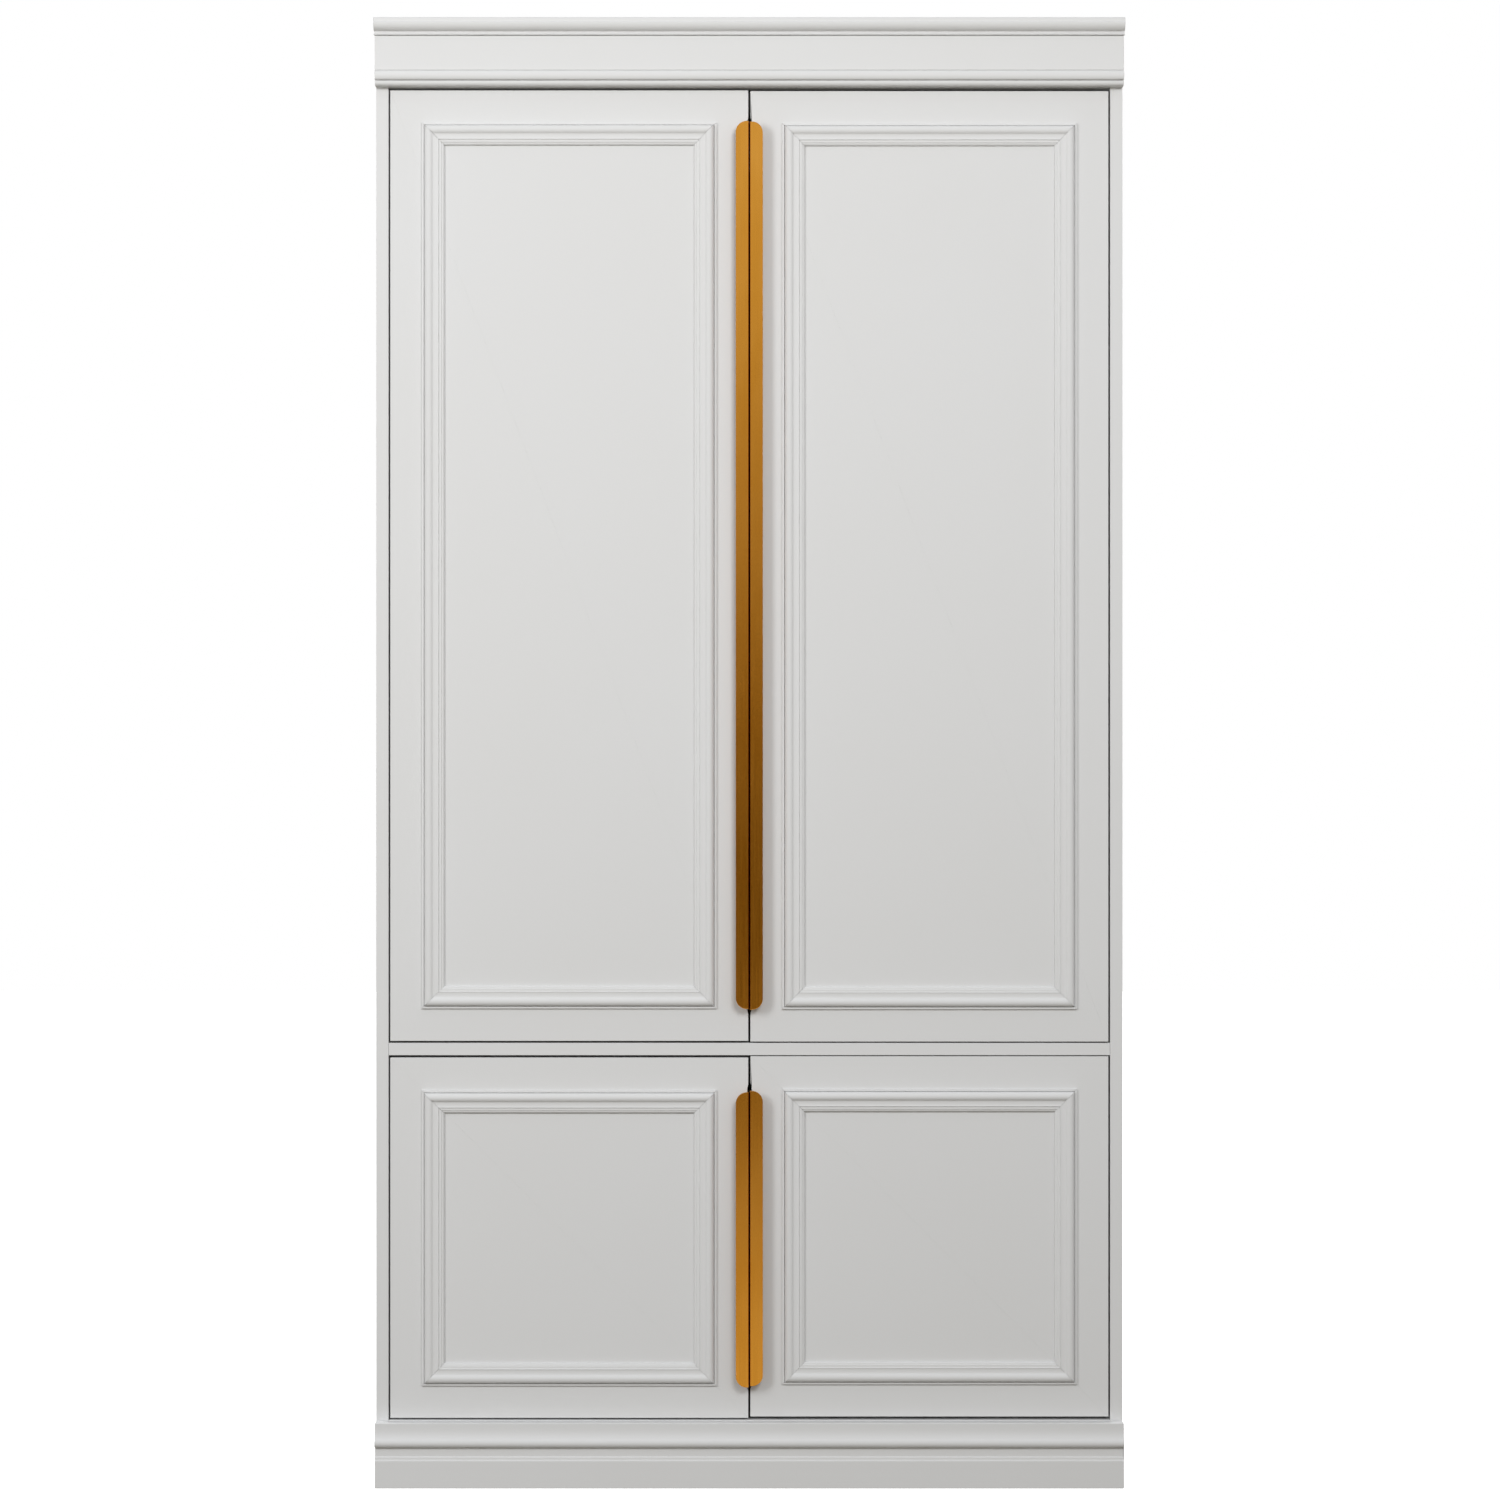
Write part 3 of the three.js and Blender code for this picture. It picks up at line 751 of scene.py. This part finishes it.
def screw_head(radius, height, turn):
    """Dome height h (1 - 0.6 r^2), less a cross-shaped recess: a product of two soft steps, one
    across each arm and one at its end. The rim drops to the seat, and the seat closes the shape."""
    r = np.linspace(0, 1, SCREW_RINGS)[:, None]
    angle = np.linspace(0, 2 * np.pi, SCREW_SPOKES, endpoint=False)[None, :]
    x, y = np.abs(r * np.cos(angle)), np.abs(r * np.sin(angle))
    across = np.clip((0.2 - np.minimum(x, y)) / 0.1, 0, 1)
    along = np.clip((0.62 - np.maximum(x, y)) / 0.12, 0, 1)
    dome = height * (1 - 0.6 * r**2 - 0.5 * across * along)
    rim = np.array([[1.0], [1.0], [0.5], [0.0]])
    rings = np.concatenate([r + 0 * angle, rim + 0 * angle]) * radius
    levels = np.concatenate([dome, np.array([[0.12], [0], [0], [0]]) * height + 0 * angle])
    spin = angle + turn
    points = np.stack([rings * np.cos(spin), rings * np.sin(spin), levels], axis=-1)
    return points.reshape(-1, 3), grid_faces(SCREW_RINGS + 4, SCREW_SPOKES)


def pointed(points, axis, seat):
    """Turns a shape made along +Z so that it points along an axis, and moves it to its seat."""
    axis = np.array(axis, dtype=float)
    side = np.cross(axis, [0, 0, 1])
    side /= np.linalg.norm(side)
    frame_of_axis = np.stack([side, np.cross(axis, side), axis])
    return points @ frame_of_axis + np.array(seat)


chance = np.random.default_rng(12)


def screws(name, body, seats, axis, radius, height):
    """Screw heads at several seats as one piece, each turned by its own angle."""
    shapes = []
    for seat in seats:
        points, faces = screw_head(radius, height, chance.uniform(0, np.pi / 2))
        shapes.append((pointed(points, axis, seat), faces))
    return dress(make_piece(name, *together(shapes)), nickel, body, "nickel")


print("a screw head has", len(screw_head(1, 1, 0)[0]), "points")

# %% [markdown]
# ## Where the screws go
# Each hinge has two screws in the ears of its cup, two in its mounting plate, and two on its arm that
# adjust the door. The handle's tab is held from inside by a row of screws along the door.

# %% Hinge screws
SEAT_GAP = 0.03
PART_GAP = 0.3  # between touching CAD parts
EAR_SCREW_FROM_CENTRE = 24.5
PLATE_SCREW_FROM_CENTRE = 14.5
ARM_BODY_FACE = 13.3  # from the side panel to the arm's face
PLATE_FACE = 2.3  # from the side panel to the plate's face
PLATE_LENGTH = 48.0  # front to back
PLATE_MIDDLE = PLATE_LENGTH / 2  # from the plate's front edge
ARM_SCREWS = (10.0, 33.0)  # from the plate's front edge

for storey, side in DOORS:
    inward_x = SIDES[side]
    body = f"door_{storey}_{side}"
    cups = sorted(name for name in hinge_nodes if name.startswith(f"hinge_cup_{storey}_{side}"))
    ears, plates, adjusters = [], [], []
    for cup in cups:
        low, high = corners(cup)
        middle = (low + high) / 2
        plate_low, plate_high = corners(cup.replace("cup", "arm"))
        plate_front = plate_high[1] - PLATE_LENGTH
        panel = (plate_low[0], plate_high[0])[::inward_x][0] - inward_x * PART_GAP
        for way in (-1, 1):
            ears.append((middle[0], high[1] + SEAT_GAP, middle[2] + way * EAR_SCREW_FROM_CENTRE))
            plate_z = middle[2] + way * PLATE_SCREW_FROM_CENTRE
            plate_x = panel + inward_x * (PLATE_FACE + SEAT_GAP)
            plates.append((plate_x, plate_front + PLATE_MIDDLE, plate_z))
        for back in ARM_SCREWS:
            arm_x = panel + inward_x * (ARM_BODY_FACE + SEAT_GAP)
            adjusters.append((arm_x, plate_front + back, middle[2]))
    screws(f"cup_screws_{storey}_{side}", body, ears, (0, 1, 0), 3.6, 1.8)
    screws(f"plate_screws_{storey}_{side}", "carcass", plates, (inward_x, 0, 0), 3.9, 2.0)
    screws(f"adjusting_screws_{storey}_{side}", "carcass", adjusters, (inward_x, 0, 0), 3.0, 1.0)

print("hinge screws at", len(hinge_nodes) // 2, "hinges")

# %% Handle screws
TAB_SCREWS = {"upper": 5, "lower": 3}
TAB_SCREW_FROM_END = 45.0
TAB_SHIFT = 1.0  # from the middle of the handle towards the hinges

for storey, side in DOORS:
    low, high = corners(f"handle_{storey}_{side}")
    middle_x = (low[0] + high[0]) / 2 - SIDES[side] * TAB_SHIFT
    heights = np.linspace(low[2] + TAB_SCREW_FROM_END, high[2] - TAB_SCREW_FROM_END, TAB_SCREWS[storey])
    seats = [(middle_x, high[1] + SEAT_GAP, z) for z in heights]
    screws(f"handle_screws_{storey}_{side}", f"door_{storey}_{side}", seats, (0, 1, 0), 3.2, 1.6)
print("handle screws:", 2 * sum(TAB_SCREWS.values()))

# %% [markdown]
# ## Shelf pins
# The shelves are adjustable: each rests on four steel pins pushed into the side panels. A pin is a
# turned shape, so its surface is its profile, radius against length, carried round a circle.

# %% Shelf pins
PIN_PROFILE = section((0, 0), (3.6, 0), (3.6, 0.75), (2.5, 0.75), (2.5, 8.2), (2.0, 8.8), (0, 8.8))
PIN_FROM_FRONT = 42.0
PIN_FROM_BACK = 46.0
PIN_BELOW_SHELF = 2.55  # its radius and a hair
PIN_POINTS = 32  # round its circle


def pin(seat, axis):
    """A turned pin: each profile point (r, l) sweeps the circle (r cos a, r sin a) at the height l."""
    angle = np.linspace(0, 2 * np.pi, PIN_POINTS, endpoint=False)
    r, l = PIN_PROFILE[:, :1], PIN_PROFILE[:, 1:]
    points = np.stack([r * np.cos(angle), r * np.sin(angle), l + 0 * angle], axis=-1)
    return pointed(points.reshape(-1, 3), axis, seat), grid_faces(len(PIN_PROFILE), PIN_POINTS)


shelves = [name for name in nodes if name.startswith("shelf_")]
_, left_face = corners("side_panel_left")
right_face, _ = corners("side_panel_right")
for shelf in shelves:
    low, high = corners(shelf)
    pins = []
    for y in (low[1] + PIN_FROM_FRONT, high[1] - PIN_FROM_BACK):
        for face, way in ((left_face, 1), (right_face, -1)):
            pins.append(pin((face[0], y, low[2] - PIN_BELOW_SHELF), (way, 0, 0)))
    dress(make_piece(f"pins_{shelf}", *together(pins)), nickel, "carcass", "nickel")
print("shelf pins:", 4 * len(shelves))

# %% [markdown]
# ## Floor
# The piece stands on a pale, plain studio floor. A floor lit by lamps alone would turn grey far from
# them, so this one glows by itself. It is hidden from bounced light and from reflections, so it
# doesn't light the armoire.

# %% Floor
FLOOR_GLOW = 0.85
FLOOR_REACH = 9000  # from the middle to each edge
FLOOR_PALE = (0.86, 0.86, 0.86)
FLOOR_PALER = (0.88, 0.88, 0.88)


def studio_floor():
    """A broad square of pale floor, which glows so that it stays pale to its far edge."""
    reach = FLOOR_REACH
    points = np.array([[-reach, -reach, 0], [reach, -reach, 0], [reach, reach, 0], [-reach, reach, 0]])
    floor = make_piece("studio_floor", points, [[0, 1, 2, 3]])
    material, tree, shader = new_material("pale_floor", FLOOR_PALE, 0.6)
    tone = noise(tree, place(tree), 1.5, detail=2)
    colour = blend_colours(tree, tone, FLOOR_PALE, FLOOR_PALER)
    tree.links.new(colour, shader.inputs["Base Color"])
    shader.inputs["Emission Color"].default_value = (1, 1, 1, 1)
    shader.inputs["Emission Strength"].default_value = FLOOR_GLOW
    floor.data.materials.append(material)
    floor.visible_diffuse = False
    floor.visible_glossy = False
    return floor


floor = studio_floor()
print("floor glow", FLOOR_GLOW)

# %% [markdown]
# ## Sky
# The studio's sky is a gradient over elevation: brightest some way above eye level, and dim and warm
# towards the floor. Reflections see a gradient of their own, with a dark band near eye level, so from
# the top of the armoire down the handles go from bright through dark and back to bright, over the two
# storeys together. Looking past the armoire, the sky is white.

# %% Sky
# Elevation in degrees, brightness, and how much blue is taken out, or put in where it is negative.
# Reflections see the first one, and all other light from the sky is the second.
MIRRORED_SKY = [
    (-90, 0.15, 0.20),
    (-45, 0.24, 0.20),
    (-25, 0.70, 0.16),
    (-12, 0.88, 0.10),
    (-9.5, 0.72, 0.35),
    (-7, 0.20, 0.90),
    (-3, 0.07, 0.98),
    (0, 0.20, 0.95),
    (4, 0.50, 0.45),
    (10, 0.86, 0.0),
    (26, 0.80, 0.0),
    (42, 0.36, 0.0),
    (90, 0.36, 0.0),
]
LIGHTING_SKY = [
    (-90, 0.09, 0.45),
    (-20, 0.15, 0.4),
    (0, 0.34, 0.08),
    (25, 0.55, -0.03),
    (90, 0.42, -0.05),
]

scene = bpy.context.scene
world = bpy.data.worlds.new("studio")
scene.world = world
world.use_nodes = True
sky = world.node_tree
sky.nodes.clear()
direction = add_node(sky, "ShaderNodeTexCoord").outputs["Generated"]
rise = add_node(sky, "ShaderNodeSeparateXYZ", Vector=direction).outputs["Z"]


def gradient(stops):
    """A sky whose colour depends on elevation: a ramp over (sine of the elevation + 1) / 2."""
    ramp = add_node(sky, "ShaderNodeValToRGB", Fac=spread(sky, rise, 0, 1, -1, 1))
    ramp.color_ramp.interpolation = "EASE"
    while len(ramp.color_ramp.elements) < len(stops):
        ramp.color_ramp.elements.new(0.5)
    for stop, (elevation, light, warmth) in zip(ramp.color_ramp.elements, stops):
        stop.position = (math.sin(math.radians(elevation)) + 1) / 2
        stop.color = (light, light * (1 - 0.35 * warmth), light * (1 - warmth), 1)
    return add_node(sky, "ShaderNodeBackground", Color=ramp.outputs["Color"], Strength=1.0)


def either(choice, first, second):
    """A mix of two skies: the first where the choice is 0, the second where it is 1."""
    mix = add_node(sky, "ShaderNodeMixShader")
    for socket, source in zip(mix.inputs, (choice, first.outputs[0], second.outputs[0])):
        sky.links.new(source, socket)
    return mix


ray = add_node(sky, "ShaderNodeLightPath")
lit = gradient(LIGHTING_SKY)
mirrored = gradient(MIRRORED_SKY)
plain = add_node(sky, "ShaderNodeBackground", Color=(1, 1, 1, 1), Strength=1.0)
seen = either(ray.outputs["Is Camera Ray"], either(ray.outputs["Is Glossy Ray"], lit, mirrored), plain)
out = add_node(sky, "ShaderNodeOutputWorld")
sky.links.new(seen.outputs[0], out.inputs["Surface"])
print("sky stops:", len(LIGHTING_SKY), "for light,", len(MIRRORED_SKY), "for reflections")

# %% [markdown]
# ## Light
# Two softboxes stand in front, one to the right of the camera and one to its left, both higher than
# the armoire. Two more stand out to its sides and behind it, and light its sides and its back. None
# is seen in a reflection or by the camera. Places are in metres here, as for the camera.

# %% Light
def aim(thing, target):
    """Turns a light or camera so that it looks from where it is to the target."""
    thing.rotation_euler = (Vector(target) - thing.location).to_track_quat("-Z", "Y").to_euler()


def softbox(name, place_at, target, size, power):
    """A rectangular area light."""
    lamp = bpy.data.lights.new(name, "AREA")
    lamp.shape = "RECTANGLE"
    lamp.size, lamp.size_y = size
    lamp.energy = power
    holder = bpy.data.objects.new(name, lamp)
    holder.location = place_at
    scene.collection.objects.link(holder)
    aim(holder, target)
    return holder


main_box = softbox("main_box", (0.85, -3.7, 2.6), (-1.6, 0, 2.45), (1.3, 1.0), 65)
left_box = softbox("left_box", (-2.4, -3.1, 2.2), (-0.4, 0, 1.5), (0.9, 1.6), 50)
side_boxes = [
    softbox(f"side_box_{way}", (3.0 * way, 1.2, 2.2), (0, 0, 1.1), (1.2, 1.6), 40) for way in (-1, 1)
]
boxes = (main_box, left_box, *side_boxes)
for box in boxes:
    box.visible_glossy = False
    box.visible_camera = False
print("softboxes:", len(boxes))

# %% [markdown]
# ## Camera
# The camera looks square on at the middle of the front, from well back, so neither side is seen. The
# lens follows from the distance and from how much the view takes in.

# %% Camera
CAMERA_DISTANCE = 4.5  # in front of the carcass
CAMERA_ACROSS = 0.001
CAMERA_HEIGHT = 1.080
SENSOR_WIDTH = 36  # millimetres
FRAME_WIDTH = 2.203  # how much the view takes in at the carcass's front
camera_data = bpy.data.cameras.new("camera")
camera_data.sensor_width = SENSOR_WIDTH
camera_data.lens = SENSOR_WIDTH * CAMERA_DISTANCE / FRAME_WIDTH
camera = bpy.data.objects.new("camera", camera_data)
camera.location = (CAMERA_ACROSS, front_y * MM - CAMERA_DISTANCE, CAMERA_HEIGHT)
camera.rotation_euler = (math.radians(90), 0, 0)
scene.collection.objects.link(camera)
scene.camera = camera
scene.view_settings.view_transform = "Standard"
print("lens", round(camera_data.lens, 1), "mm")
